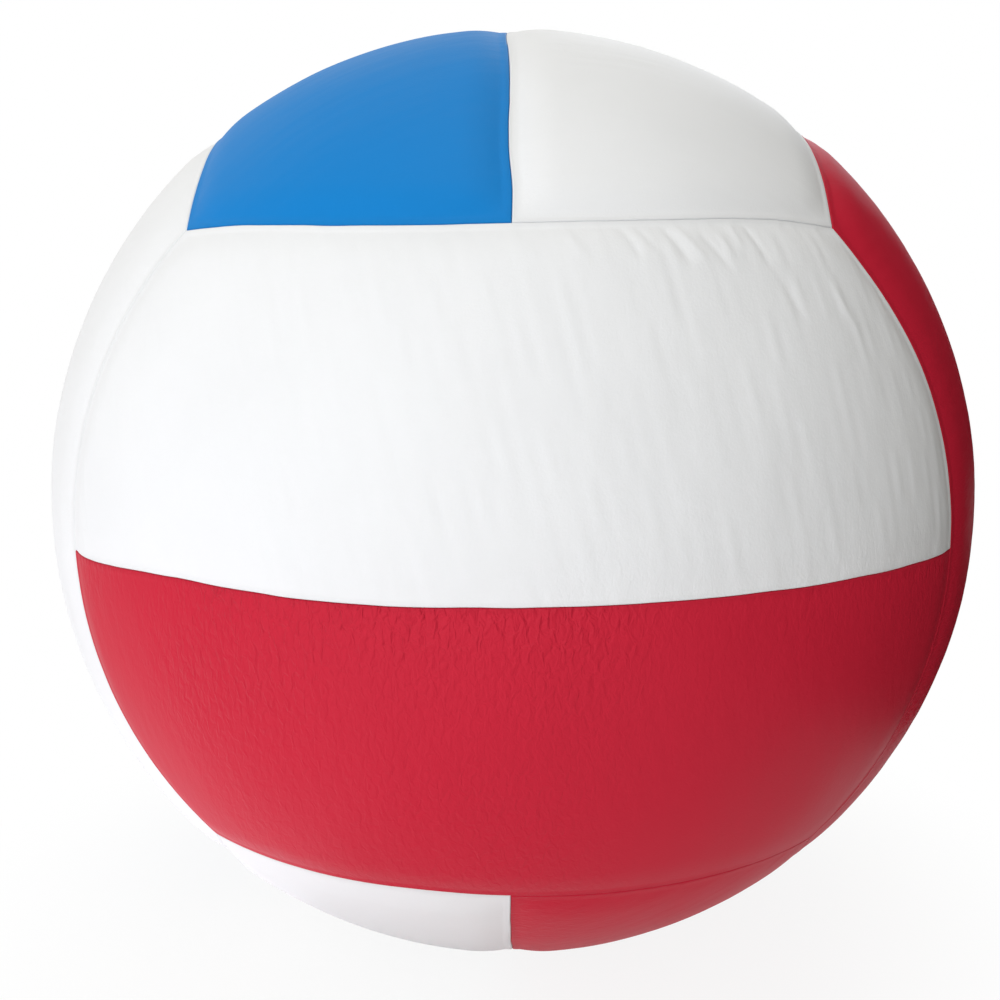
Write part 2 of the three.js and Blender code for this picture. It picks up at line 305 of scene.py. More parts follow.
NEAREST_SEEN = 0.01  # from the camera
SMOOTH_ANGLE = math.radians(50)
TURN_STEPS = 96  # round the valve
ROUNDING_STEPS = 5

# Numbers that mix the place of a grid's cell and a seed into one that looks drawn at random
CELL_MIXERS = (73856093, 19349663, 83492791)
SEED_MIXER = 40503
ROUND_MIXERS = ((13, 1274126177), (15, 668265263))
LARGEST_MIX = 0x7FFFFFFF

# Sockets of a colour mix node, by number because their names repeat, and how far apart nodes stand
MIX_FACTOR, MIX_FIRST, MIX_SECOND, MIX_RESULT = 0, 6, 7, 2
NODE_SPACING = 180


def node_points(name):
    """The points of a solid, one to a row."""
    return np.array([vertex.co for vertex in frame["nodes"][name].data.vertices], float)


def node_radii(name):
    """The least and greatest distance of a solid's points from the centre of the ball."""
    distances = np.linalg.norm(node_points(name), axis=1)
    return float(distances.min()), float(distances.max())


def mount_axis(name):
    """The direction of one of the record's mounts."""
    mounts = frame["record"]["mounts"]
    return np.array(next(mount["axis"] for mount in mounts if mount["name"] == name), float)


VALVE_AXIS = mount_axis("valve_face")
CROWN_RADIUS = node_radii("panel_front_upper")[1]
BACKING_RADII = node_radii("backing_front_upper")
BLADDER_INNER_RADIUS = node_radii("bladder")[0]


def turned_sizes(name):
    """The distances of a solid's points from the valve's axis, and along it from the centre of the ball."""
    points = node_points(name)
    heights = points @ VALVE_AXIS
    radii = np.linalg.norm(points - np.outer(heights, VALVE_AXIS), axis=1)
    return radii, heights


# Sizes and finishes that a user would change


def length_property(name, description, default):
    """A length with its name in the sidebar."""
    return FloatProperty(
        name=name, description=description, default=default, unit="LENGTH", subtype="DISTANCE", precision=5
    )


def share_property(name, description, default):
    """A share from 0 to 1."""
    return FloatProperty(
        name=name, description=description, default=default, min=0, max=1, subtype="FACTOR"
    )


def colour_property(name, description, default):
    """A linear colour."""
    return FloatVectorProperty(
        name=name, description=description, default=default, size=3, min=0, max=1, subtype="COLOR"
    )


def power_property(name, description, default):
    """The power of a light."""
    return FloatProperty(name=name, description=description, default=default, unit="POWER")


class BallSizes(bpy.types.PropertyGroup):
    """Sizes of the cover and the valve."""

    crown_radius: length_property("Crown radius", "From the centre to the field of a panel", CROWN_RADIUS)
    skin_thickness: length_property("Skin", "Thickness of the leather", 1.2 * MM)
    seam_gap: length_property("Seam gap", "Between neighbouring panels", 0.04 * MM)
    seam_fall: length_property("Seam fall", "How far the border of a panel turns down", 0.8 * MM)
    seam_strip: length_property("Seam strip", "Width of the flat strip along a seam", 1.6 * MM)
    seam_shoulder: length_property("Seam shoulder", "Width of the border that turns down", 8.5 * MM)
    edge_roll: length_property("Edge roll", "Radius of the cut edge of a panel", 0.28 * MM)
    seam_wander: length_property("Seam wander", "How far a seam strays from its line", 0.25 * MM)
    streak_height: length_property("Streaks", "Height of the streaks across a panel", 0.06 * MM)
    swell_height: length_property("Swells", "Height of the slow swells of a panel", 0.12 * MM)
    valve_gap: length_property("Valve gap", "Round the valve in its hole", 0.2 * MM)
    valve_dish: length_property("Valve dish", "How far the leather dips to the valve", 0.35 * MM)
    valve_dish_width: length_property("Valve dish width", "How far round the valve it dips", 6 * MM)


class LeatherLooks(bpy.types.PropertyGroup):
    """Colours and surface of the leathers."""

    white: colour_property("White", "Colour of the white leather", (0.80, 0.81, 0.83))
    red: colour_property("Red", "Colour of the red leather", (0.53, 0.015, 0.038))
    blue: colour_property("Blue", "Colour of the blue leather", (0.004, 0.20, 0.56))
    roughness: share_property("Roughness", "Roughness of the leather", 0.5)
    shine: share_property("Shine", "Strength of the leather's reflections", 0.1)
    grain_depth: length_property("Grain", "Depth of the fine grain", 0.02 * MM)
    crinkle_depth: length_property("Crinkles", "Depth of the fine crinkles", 0.75 * MM)
    # Painted shade: how much the leather's colour is darkened at a seam, standing in for the shade in its
    # crack
    seam_painted_shade: share_property("Seam painted shade", "How much darker the leather is at a seam", 0.06)


class StudioSetup(bpy.types.PropertyGroup):
    """Camera and lights."""

    camera_place: FloatVectorProperty(
        name="Camera place",
        description="Where the camera stands",
        default=(0.00064, -0.27809, 0.04962),
        subtype="TRANSLATION",
        unit="LENGTH",
        precision=5,
    )
    camera_turn: FloatVectorProperty(
        name="Camera turn",
        description="Angles of the camera",
        default=tuple(math.radians(angle) for angle in (79.49, 0.27, 0.64)),
        subtype="EULER",
        unit="ROTATION",
    )
    lens: FloatProperty(
        name="Lens", description="Focal length on a sensor 36 mm wide", default=43.0, unit="CAMERA"
    )
    key_power: power_property("Key light", "Power of the large light in front", 4.95)
    top_power: power_property("Top light", "Power of the light above", 2.75)
    back_power: power_property("Back light", "Power of the light behind", 4.0)
    low_power: power_property("Low light", "Power of the light just over the floor", 0.42)
    key_tint: colour_property("Key tint", "Colour of the lights in front and behind", (0.85, 0.91, 1.0))
    low_tint: colour_property("Low tint", "Colour of the light just over the floor", (0.93, 0.89, 1.0))
    sky_light: colour_property("Sky", "Light of the surroundings", (0.63, 0.60, 0.53))


class VolleyballSettings(bpy.types.PropertyGroup):
    """Everything that can be set in the sidebar."""

    sizes: PointerProperty(type=BallSizes)
    leather: PointerProperty(type=LeatherLooks)
    studio: PointerProperty(type=StudioSetup)


# Noise and easing


def eased(share):
    """A smooth step from 0 to 1."""
    share = np.clip(share, 0, 1)
    return share * share * (3 - 2 * share)


def cell_values(cells, seed):
    """A number from -1 to 1 for each cell of a grid, the same at every run."""
    mixed = np.bitwise_xor.reduce(cells.astype(np.int64) * CELL_MIXERS, axis=-1) ^ (seed * SEED_MIXER)
    for shift, factor in ROUND_MIXERS:
        mixed = ((mixed ^ (mixed >> shift)) * factor) & LARGEST_MIX
    return mixed / (LARGEST_MIX // 2) - 1


def smooth_noise(points, seed):
    """Noise from -1 to 1 that takes about one step for each length of 1."""
    base = np.floor(points)
    part = points - base
    fade = part**3 * (part * (part * 6 - 15) + 10)
    total = np.zeros(points.shape[:-1])
    for corner in itertools.product((0, 1), repeat=3):
        weight = np.prod(np.where(corner, fade, 1 - fade), axis=-1)
        total += weight * cell_values(base + corner, seed)
    return total


# The shape of a panel

PanelField = namedtuple("PanelField", "places along across edges")


def graded(length, coarsest):
    """Distances from 0 to a length, in steps that are finest at both ends."""
    half = [0.0]
    step = EDGE_STEP
    while half[-1] < length / 2:
        half.append(half[-1] + step)
        step = min(step * STEP_GROWTH, coarsest)
    half = np.array(half) * (length / 2 / half[-1])
    return np.concatenate([half, length - half[-2::-1]])


def panel_turn(panel):
    """Turns the panel that is worked out, front and upper, to its place on the ball."""
    face, side = np.array(panel.face, float), np.array(panel.side, float)
    return np.stack([np.cross(side, face), -face, side])


def nearness(places, spot, radius):
    """1 at the place of a spot, and less the farther away."""
    away = np.linalg.norm(places - np.array(spot.place), axis=-1) * radius / (spot.reach * MM)
    return np.exp(-away * away)


def wandered(places, sizes):
    """The same places moved sideways a little, as seams laid by hand wander."""
    radius = sizes.crown_radius
    moved = places.copy()
    for cell, share, seed in SEAM_WAVES:
        points = places * (radius / cell)
        drift = np.stack([smooth_noise(points, seed + axis) for axis in range(3)], axis=-1)
        moved += drift * (share * sizes.seam_wander / radius)
    for pull in SEAM_PULLS:
        moved += nearness(places, pull, radius)[..., None] * np.array(pull.shift) * (MM / radius)
    return moved / np.linalg.norm(moved, axis=-1, keepdims=True)


def panel_field(panel, sizes, coarsest):
    """Places over one panel on a ball of radius 1, and their distances along, across and from its edges."""
    radius = sizes.crown_radius
    inset = sizes.seam_gap / 2 / radius
    lowest, highest = math.asin(inset), math.asin(EDGE_PLANE - inset)
    latitude = (lowest + graded((highest - lowest) * radius, coarsest) / radius)[:, None]
    level = np.cos(latitude)
    reach = np.arccos((EDGE_PLANE + inset) / level)
    columns = graded(2 * reach[0, 0] * radius, coarsest)
    longitude = reach * (2 * columns / columns[-1] - 1)
    latitude = np.broadcast_to(latitude, longitude.shape)
    local = np.stack([level * np.sin(longitude), -level * np.cos(longitude), np.sin(latitude)], axis=-1)
    edges = [
        latitude - lowest,
        highest - latitude,
        np.arcsin(-local[..., 1]) - math.asin(EDGE_PLANE + inset),
    ]
    return PanelField(
        wandered(local @ panel_turn(panel), sizes),
        radius * level * longitude,
        radius * latitude,
        np.maximum(radius * np.stack(edges), 0),
    )


def border_fall(field, panel, sizes):
    """How far the border of a panel has turned down: round from its field, and flat along its edges."""
    width = sizes.seam_shoulder - sizes.seam_strip
    round_share = np.clip(1 - (field.edges - sizes.seam_strip) / width, 0, 1) ** 2
    round_share[0] *= FLAT_SEAM_SHARES.get(panel.face, PLAIN_SEAM_SHARE)
    fall = sizes.seam_fall * (1 - np.prod(1 - round_share, axis=0))
    for depth in SEAM_DEPTHS:
        fall *= 1 + (depth.share - 1) * nearness(field.places, depth, sizes.crown_radius)
    return fall


def edge_roll(field, sizes):
    """How far the rounded cut edge of a panel has dropped."""
    inside = np.clip(1 - field.edges / sizes.edge_roll, 0, 1)
    return sizes.edge_roll * (1 - np.prod(np.sqrt(1 - inside * inside), axis=0))


def fold_height(field, panel):
    """Height of the folds beside the long edge of a panel."""
    places = np.stack([field.along, field.edges[1]], axis=-1) / MM
    height = np.zeros_like(field.along)
    for fold in FOLDS.get(panel.name, ()):
        run = np.subtract(fold.end, fold.start)
        length = np.linalg.norm(run)
        offset = places - fold.start
        share = offset @ run / length**2
        aside = np.abs(offset @ (run[1], -run[0])) / length
        risen = eased(np.minimum(share, 1 - share) / FOLD_TAPER)
        height += fold.height * risen * np.clip(1 - aside / fold.width, 0, 1) ** 2
    return MM * height


def leather_relief(field, panel, sizes):
    """Height of the folds, streaks and slow swells of a panel."""
    seed = RELIEF_SEED + PANELS.index(panel)
    along = (field.along + STREAK_LEAN * field.across) / STREAK_CELL[0]
    across = field.across / STREAK_CELL[1]
    streaks = smooth_noise(np.stack([along, across, np.zeros_like(along)], axis=-1), seed)
    streak_height = sizes.streak_height * STREAK_SHARES.get(panel.name, PLAIN_STREAK_SHARE)
    swells = smooth_noise(field.places * (sizes.crown_radius / SWELL_CELL), seed)
    inside = eased(np.min(field.edges, axis=0) / RELIEF_BORDER)
    return inside * (fold_height(field, panel) + streak_height * streaks + sizes.swell_height * swells)


def valve_dip(field, panel, sizes):
    """How far the leather of the valve's panel dips round the valve."""
    if panel.name != VALVE_PANEL:
        return 0
    away = sizes.crown_radius * np.linalg.norm(np.cross(field.places, VALVE_AXIS), axis=-1)
    return sizes.valve_dish * (1 - eased((away - valve_rim_radius()) / sizes.valve_dish_width))


def crinkle_share(field, panel):
    """How crinkled the leather is: most beside the middle seam, less at the ends, and in patches."""
    seed = CRINKLE_PATCH_SEED + PANELS.index(panel)
    patches = smooth_noise(field.places * (CROWN_RADIUS / CRINKLE_PATCH), seed)
    near = np.exp(-field.edges[0] / CRINKLE_REACH)
    beside = np.abs(field.along - CRINKLE_PLACES.get(panel.name, 0)) - CRINKLE_HALF_LENGTH
    smoothed = (1 - END_CRINKLE_SHARE) * eased(beside / CRINKLE_FADE)
    depth = (FAR_CRINKLE_SHARE + (1 - FAR_CRINKLE_SHARE) * near) * (1 - smoothed)
    return depth * (1 + CRINKLE_PATCH_CONTRAST * patches)


# Meshes


def slab(outer, inner):
    """Points and faces of a closed slab between two grids of points."""
    rows, columns = outer.shape[:2]
    count = rows * columns
    index = np.arange(count).reshape(rows, columns)
    corners = [index[:-1, :-1], index[:-1, 1:], index[1:, 1:], index[1:, :-1]]
    quads = np.stack(corners, axis=-1).reshape(-1, 4)
    border = np.concatenate([index[0, :-1], index[:-1, -1], index[-1, :0:-1], index[:0:-1, 0]])
    after = np.roll(border, -1)
    walls = np.stack([border, border + count, after + count, after], axis=-1)
    points = np.concatenate([outer.reshape(-1, 3), inner.reshape(-1, 3)])
    return points, np.concatenate([quads, quads[:, ::-1] + count, walls])


def new_piece(name, mesh):
    """An object in the scene with a mesh whose flat and round stretches are shaded apart."""
    mesh.shade_smooth()
    mesh.set_sharp_from_angle(angle=SMOOTH_ANGLE)
    piece = bpy.data.objects.new(name, mesh)
    bpy.context.scene.collection.objects.link(piece)
    return piece


def store_values(mesh, name, values):
    """Keeps a number at each point of a slab, the same on both of its sides."""
    both = np.tile(values.ravel(), 2).astype(np.float32)
    mesh.attributes.new(name, "FLOAT", "POINT").data.foreach_set("value", both)


def store_strip_map(mesh, field):
    """Gives a slab a map in metres along and across its strip."""
    corners = np.empty(len(mesh.loops), np.int32)
    mesh.loops.foreach_get("vertex_index", corners)
    flat = np.tile(np.stack([field.along.ravel(), field.across.ravel()], axis=-1), (2, 1))
    mesh.uv_layers.new(name=STRIP_MAP).data.foreach_set("uv", flat[corners].astype(np.float32).ravel())


def panel_slab(name, field, outer_radius, inner_radius):
    """A closed slab over a panel between two radii that vary over it."""
    points, faces = slab(field.places * outer_radius[..., None], field.places * inner_radius[..., None])
    mesh = bpy.data.meshes.new(name)
    mesh.from_pydata(points, [], faces)
    store_strip_map(mesh, field)
    return new_piece(name, mesh)


def valve_rim_radius():
    """The radius of the valve at its face."""
    radii, heights = turned_sizes("valve_housing")
    return float(radii[heights > heights.max() - ON_FACE].max())


def turned_mesh(name, profile):
    """A mesh turned round the valve's axis from a profile of radius and distance from the centre."""
    axis = Vector(VALVE_AXIS)
    across = axis.orthogonal().normalized()
    shape = bmesh.new()
    points = [shape.verts.new(across * radius + axis * height) for radius, height in profile]
    edges = [shape.edges.new(pair) for pair in zip(points, points[1:])]
    bmesh.ops.spin(
        shape,
        geom=points + edges,
        cent=(0, 0, 0),
        axis=axis,
        angle=2 * math.pi,
        steps=TURN_STEPS,
        use_merge=True,
    )
    bmesh.ops.remove_doubles(shape, verts=shape.verts, dist=JOINED)
    bmesh.ops.recalc_face_normals(shape, faces=shape.faces)
    mesh = bpy.data.meshes.new(name)
    shape.to_mesh(mesh)
    shape.free()
    return mesh


def cut_valve_hole(piece, radius):
    """Cuts the hole for the valve through a piece."""
    inside, outside = (share * CROWN_RADIUS for share in VALVE_CUT)
    profile = [(0, inside), (radius, inside), (radius, outside), (0, outside)]
    rod = new_piece("valve_rod", turned_mesh("valve_rod", profile))
    cut = piece.modifiers.new("valve_hole", "BOOLEAN")
    cut.operation = "DIFFERENCE"
    cut.solver = "EXACT"
    cut.object = rod
    graph = bpy.context.evaluated_depsgraph_get()
    solid = piece.data
    piece.data = bpy.data.meshes.new_from_object(
        piece.evaluated_get(graph), preserve_all_data_layers=True, depsgraph=graph
    )
    piece.data.set_sharp_from_angle(angle=SMOOTH_ANGLE)
    piece.modifiers.clear()
    bpy.data.meshes.remove(solid)
    bpy.data.meshes.remove(rod.data)


# Shader nodes


def add_node(tree, kind, inputs=None, **settings):
    """Adds a node with its settings, and with its inputs as values or as sockets to link from."""
    node = tree.nodes.new(kind)
    node.location = (NODE_SPACING * len(tree.nodes), 0)
    for name, value in settings.items():
        setattr(node, name, value)
    for name, value in (inputs or {}).items():
        if isinstance(value, bpy.types.NodeSocket):
            tree.links.new(value, node.inputs[name])
        else:
            node.inputs[name].default_value = value
    return node


def calculate(tree, operation, *values):
    """The result of a math node."""
    return add_node(tree, "ShaderNodeMath", dict(enumerate(values)), operation=operation).outputs[0]


def noise_on(tree, vector, scale, detail=2.0, distortion=0.0, dimensions="3D"):
    """A noise from -0.5 to 0.5 over a vector."""
    inputs = {"Vector": vector, "Scale": scale, "Detail": detail, "Distortion": distortion}
    noise = add_node(tree, "ShaderNodeTexNoise", inputs, noise_dimensions=dimensions)
    return calculate(tree, "SUBTRACT", noise.outputs[0], 0.5)


def object_vector(tree):
    """The place on the piece, in metres."""
    return add_node(tree, "ShaderNodeTexCoord").outputs["Object"]


def strip_vector(tree, along, across):
    """The place on a panel's strip, counted in cells of a size along and across it."""
    strip = add_node(tree, "ShaderNodeUVMap", uv_map=STRIP_MAP).outputs["UV"]
    inputs = {0: strip, 1: (along, across, 1)}
    return add_node(tree, "ShaderNodeVectorMath", inputs, operation="DIVIDE").outputs["Vector"]


def stored_value(tree, name):
    """A number that is kept at the points of a mesh."""
    return add_node(tree, "ShaderNodeAttribute", attribute_name=name).outputs["Fac"]


def new_group(name, inputs, outputs):
    """A shader node group with its input and output sockets."""
    group = bpy.data.node_groups.new(name, "ShaderNodeTree")
    for socket, (kind, default) in inputs.items():
        group.interface.new_socket(socket, in_out="INPUT", socket_type=kind).default_value = default
    for socket, kind in outputs.items():
        group.interface.new_socket(socket, in_out="OUTPUT", socket_type=kind)
    return group, add_node(group, "NodeGroupInput").outputs, add_node(group, "NodeGroupOutput").inputs


def shared_group(name, build):
    """The node group of a name, built the first time it is asked for."""
    return bpy.data.node_groups.get(name) or build(name)


def mixed_colour(tree, factor, first, second, blend="MIX"):
    """The result of a colour mix node."""
    inputs = {MIX_FACTOR: factor, MIX_FIRST: first, MIX_SECOND: second}
    node = add_node(tree, "ShaderNodeMix", inputs, data_type="RGBA", blend_type=blend)
    return node.outputs[MIX_RESULT]


def darkened(tree, colour, value):
    """A colour times a brightness."""
    return mixed_colour(tree, 1.0, colour, value, "MULTIPLY")


def eased_range(tree, value, start, end, first, last):
    """A value that runs smoothly from a first to a last, where another runs from a start to an end."""
    inputs = {"Value": value, "From Min": start, "From Max": end, "To Min": first, "To Max": last}
    return add_node(tree, "ShaderNodeMapRange", inputs, interpolation_type="SMOOTHSTEP").outputs[0]


def leather_relief_group(name):
    """Height of the leather's own surface in metres: fine grain, and crinkles that run across the strip."""
    group, given, result = new_group(
        name,
        {"Grain": ("NodeSocketFloat", 0.0), "Crinkle": ("NodeSocketFloat", 0.0)},
        {"Height": "NodeSocketFloat"},
    )
    grain = noise_on(group, strip_vector(group, GRAIN_CELL, GRAIN_CELL), 1.0, dimensions="2D")
    cells = strip_vector(group, *CRINKLE_CELL)
    crinkles = noise_on(group, cells, 1.0, CRINKLE_DETAIL, CRINKLE_BEND, "2D")
    crinkled = calculate(group, "MULTIPLY", crinkles, stored_value(group, CRINKLE_VALUE))
    deep = calculate(group, "MULTIPLY", crinkled, given["Crinkle"])
    height = calculate(group, "MULTIPLY_ADD", grain, given["Grain"], deep)
    group.links.new(height, result["Height"])
    return group


def leather_tone_and_painted_seam_shade_group(name):
    """Colour and roughness of leather that is a little uneven, with painted shade in its seams."""
    group, given, result = new_group(
        name,
        {
            "Colour": ("NodeSocketColor", (1, 1, 1, 1)),
            "Roughness": ("NodeSocketFloat", 0.5),
            "Seam painted shade": ("NodeSocketFloat", 0.2),
        },
        {"Colour": "NodeSocketColor", "Roughness": "NodeSocketFloat"},
    )
    blotches = noise_on(group, object_vector(group), 1 / BLOTCH_CELL, BLOTCH_DETAIL)
    # Painted shade in the seams: the colour darkens within a strip at the edge of a panel
    seam = eased_range(group, stored_value(group, SEAM_VALUE), 0.0, SEAM_PAINTED_SHADE_WIDTH, 1.0, 0.0)
    shade = calculate(group, "MULTIPLY", seam, given["Seam painted shade"])
    tone = calculate(group, "MULTIPLY_ADD", blotches, BLOTCH_TONE, 1.0)
    level = calculate(group, "SUBTRACT", tone, shade)
    roughness = calculate(group, "MULTIPLY_ADD", blotches, BLOTCH_ROUGHNESS, given["Roughness"])
    group.links.new(darkened(group, given["Colour"], level), result["Colour"])
    group.links.new(roughness, result["Roughness"])
    return group


def rubber_group(name):
    """Colour, roughness and height of moulded rubber with a faint bloom."""
    group, given, result = new_group(
        name,
        {"Colour": ("NodeSocketColor", (0, 0, 0, 1)), "Roughness": ("NodeSocketFloat", 0.6)},
        {"Colour": "NodeSocketColor", "Roughness": "NodeSocketFloat", "Height": "NodeSocketFloat"},
    )
    place = object_vector(group)
    bloom = noise_on(group, place, 1 / BLOOM_CELL, BLOOM_DETAIL)
    grit = noise_on(group, place, 1 / GRIT_CELL)
    level = calculate(group, "MULTIPLY_ADD", bloom, BLOOM_TONE, 1.0)
    roughness = calculate(group, "MULTIPLY_ADD", bloom, BLOOM_ROUGHNESS, given["Roughness"])
    group.links.new(darkened(group, given["Colour"], level), result["Colour"])
    group.links.new(roughness, result["Roughness"])
    group.links.new(calculate(group, "MULTIPLY", grit, GRIT_DEPTH), result["Height"])
    return group


def new_material(name):
    """A material, its nodes and its shader."""
    material = bpy.data.materials.new(name)
    material.use_nodes = True
    tree = material.node_tree
    return material, tree, tree.nodes["Principled BSDF"]


def bump_from(tree, height):
    """The normal of a surface with a height in metres."""
    inputs = {"Height": height, "Distance": 1.0, "Strength": 1.0}
    return add_node(tree, "ShaderNodeBump", inputs).outputs["Normal"]


def leather_material(leather, looks):
    """One of the three leathers."""
    material, tree, shader = new_material(f"{leather}_leather")
    colour = (*getattr(looks, leather), 1)
    tone = add_node(
        tree,
        "ShaderNodeGroup",
        {"Colour": colour, "Roughness": looks.roughness, "Seam painted shade": looks.seam_painted_shade},
        node_tree=shared_group("leather_tone_and_painted_seam_shade", leather_tone_and_painted_seam_shade_group),
    )
    relief = add_node(
        tree,
        "ShaderNodeGroup",
        {"Grain": looks.grain_depth, "Crinkle": looks.crinkle_depth * CRINKLE_SHARES[leather]},
        node_tree=shared_group("leather_relief", leather_relief_group),
    )
    tree.links.new(tone.outputs["Colour"], shader.inputs["Base Color"])
    tree.links.new(tone.outputs["Roughness"], shader.inputs["Roughness"])
    tree.links.new(bump_from(tree, relief.outputs["Height"]), shader.inputs["Normal"])
    shader.inputs["Specular IOR Level"].default_value = looks.shine
    return material


def rubber_material(name):
    """One of the moulded rubbers."""
    material, tree, shader = new_material(name)
    colour, roughness = RUBBERS[name]
    rubber = add_node(
        tree,
        "ShaderNodeGroup",
        {"Colour": (*colour, 1), "Roughness": roughness},
        node_tree=shared_group("moulded_rubber", rubber_group),
    )
    tree.links.new(rubber.outputs["Colour"], shader.inputs["Base Color"])
    tree.links.new(rubber.outputs["Roughness"], shader.inputs["Roughness"])
    tree.links.new(bump_from(tree, rubber.outputs["Height"]), shader.inputs["Normal"])
    return material


def backing_material():
    """Foam with a plain-woven cloth on it."""
    material, tree, shader = new_material("backing_foam")
    inputs = {"Vector": strip_vector(tree, CLOTH_CELL, CLOTH_CELL), "Scale": CLOTH_SCALE}
    warp, weft = (
        add_node(tree, "ShaderNodeTexWave", inputs, bands_direction=direction).outputs["Fac"]
        for direction in "XY"
    )
    weave = calculate(tree, "MAXIMUM", warp, weft)
    # Painted shade: the weave is darker the lower it lies, in the gaps between the threads
    level = calculate(tree, "MULTIPLY_ADD", weave, CLOTH_SHADE_CONTRAST, CLOTH_GAP_SHADE)
    height = calculate(tree, "MULTIPLY", weave, CLOTH_HEIGHT)
    tree.links.new(darkened(tree, (*CLOTH_COLOUR, 1), level), shader.inputs["Base Color"])
    tree.links.new(bump_from(tree, height), shader.inputs["Normal"])
    shader.inputs["Roughness"].default_value = CLOTH_ROUGHNESS
    return material


def thread_material():
    """Nylon thread wound every way round the ball."""
    material, tree, shader = new_material("winding_thread")
    inputs = {
        "Vector": object_vector(tree),
        "Scale": WINDING_SCALE,
        "Distortion": WINDING_BEND,
        "Detail": WINDING_DETAIL,
    }
    first, second, third = (
        add_node(tree, "ShaderNodeTexWave", inputs, bands_direction=direction).outputs["Fac"]
        for direction in "XYZ"
    )
    top = calculate(tree, "MAXIMUM", calculate(tree, "MAXIMUM", first, second), third)
    # Painted shade: the thread is darker the lower it lies, between the threads
    level = calculate(tree, "MULTIPLY_ADD", top, WINDING_SHADE_CONTRAST, WINDING_GAP_SHADE)
    height = calculate(tree, "MULTIPLY", top, WINDING_HEIGHT)
    tree.links.new(darkened(tree, (*WINDING_COLOUR, 1), level), shader.inputs["Base Color"])
    tree.links.new(bump_from(tree, height), shader.inputs["Normal"])
    shader.inputs["Roughness"].default_value = WINDING_ROUGHNESS
    return material


# Pieces of the ball


def dress_panel(panel, sizes, material):
    """Makes the leather of one panel over its solid."""
    field = panel_field(panel, sizes, FOLDED_STEP if panel.name in FOLDS else LEATHER_STEP)
    fall = border_fall(field, panel, sizes) + valve_dip(field, panel, sizes)
    field_radius = sizes.crown_radius - fall
    outer = field_radius - edge_roll(field, sizes) + leather_relief(field, panel, sizes)
    piece = panel_slab(f"leather_{panel.name}", field, outer, field_radius - sizes.skin_thickness)
    store_values(piece.data, SEAM_VALUE, np.min(field.edges, axis=0))
    store_values(piece.data, CRINKLE_VALUE, crinkle_share(field, panel))
    piece.data.materials.append(material)
    if panel.name == VALVE_PANEL:
        cut_valve_hole(piece, valve_rim_radius() + sizes.valve_gap)
    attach(piece, "ball")
    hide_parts(f"panel_{panel.name}")


def dress_backing(panel, sizes, material):
    """Makes the foam and cloth backing of one panel over its solid."""
    field = panel_field(panel, sizes, BACKING_STEP)
    inner_radius, outer_radius = BACKING_RADII
    outer = outer_radius - border_fall(field, panel, sizes) - valve_dip(field, panel, sizes)
    piece = panel_slab(f"foam_{panel.name}", field, outer, np.full_like(outer, inner_radius))
    piece.data.materials.append(material)
    if panel.name == VALVE_PANEL:
        cut_valve_hole(piece, valve_rim_radius() + sizes.valve_gap)
    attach(piece, "ball")
    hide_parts(f"backing_{panel.name}")


def rounded_profile(corners):
    """The points of a profile from corners of radius, distance from the centre and rounding."""
    points = []
    for before, corner, after in zip(corners[-1:] + corners[:-1], corners, corners[1:] + corners[:1]):
        place = Vector(corner[:2])
        rounding = corner[2]
        if rounding == 0:
            points.append(place)
            continue
        start = place + (Vector(before[:2]) - place).normalized() * rounding
        end = place + (Vector(after[:2]) - place).normalized() * rounding
        for step in range(ROUNDING_STEPS + 1):
            share = step / ROUNDING_STEPS
            points.append(start.lerp(place, share).lerp(place.lerp(end, share), share))
    return points


def housing_mesh(name):
    """The stem and patch of the valve, with the seat for its core."""
    radii, heights = turned_sizes("valve_housing")
    face, end = float(heights.max()), float(heights.min())
    at_face = radii[heights > face - ON_FACE]
    rim, seat_radius = float(at_face.max()), float(at_face.min())
    bore, patch = float(radii.min()), float(radii.max())
    seat = float(heights[radii < bore + ON_FACE].max())
    bonded = BLADDER_INNER_RADIUS - PATCH_GLUE
    under = bonded - PATCH_THICKNESS
    outward = np.linspace(rim, patch - PATCH_BEVEL, PATCH_STEPS)
    corners = [
        (bore, end, BORE_ROUNDING),
        (bore, seat, BORE_ROUNDING),
        (seat_radius, seat, SEAT_ROUNDING),
        (seat_radius, face, MOUTH_ROUNDING),
        (rim, face, RIM_ROUNDING),
        *((radius, math.sqrt(bonded**2 - radius**2), 0) for radius in outward),
        (patch, math.sqrt(bonded**2 - patch**2) - PATCH_THICKNESS / 2, 0),
        *((radius, math.sqrt(under**2 - radius**2), 0) for radius in outward[::-1]),
        (rim, end, STEM_ROUNDING),
    ]
    profile = rounded_profile(corners)
    return turned_mesh(name, profile + profile[:1])


def core_mesh(name):
    """The plug of the valve, with the funnel and channel for the needle."""
    radii, heights = turned_sizes("valve_core")
    face, end = float(heights.max()), float(heights.min())
    head = float(radii.max())
    body = float(radii[heights < end + ON_FACE].max())
    funnel = float(radii[heights > face - ON_FACE].min())
    head_bottom = float(heights[radii > head - ON_FACE].min())
    channel_end = end + CHANNEL_STOP
    corners = [
        (0, end, 0),
        (body, end, PLUG_ROUNDING),
        (body, head_bottom, NECK_ROUNDING),
        (head, head_bottom, SHOULDER_ROUNDING),
        (head, face, HEAD_ROUNDING),
        (funnel, face, FUNNEL_ROUNDING),
        (CHANNEL_RADIUS, face - FUNNEL_DEPTH, CHANNEL_ROUNDING),
        (CHANNEL_RADIUS, channel_end, 0),
        (0, channel_end - CHANNEL_RADIUS, 0),
    ]
    return turned_mesh(name, rounded_profile(corners))


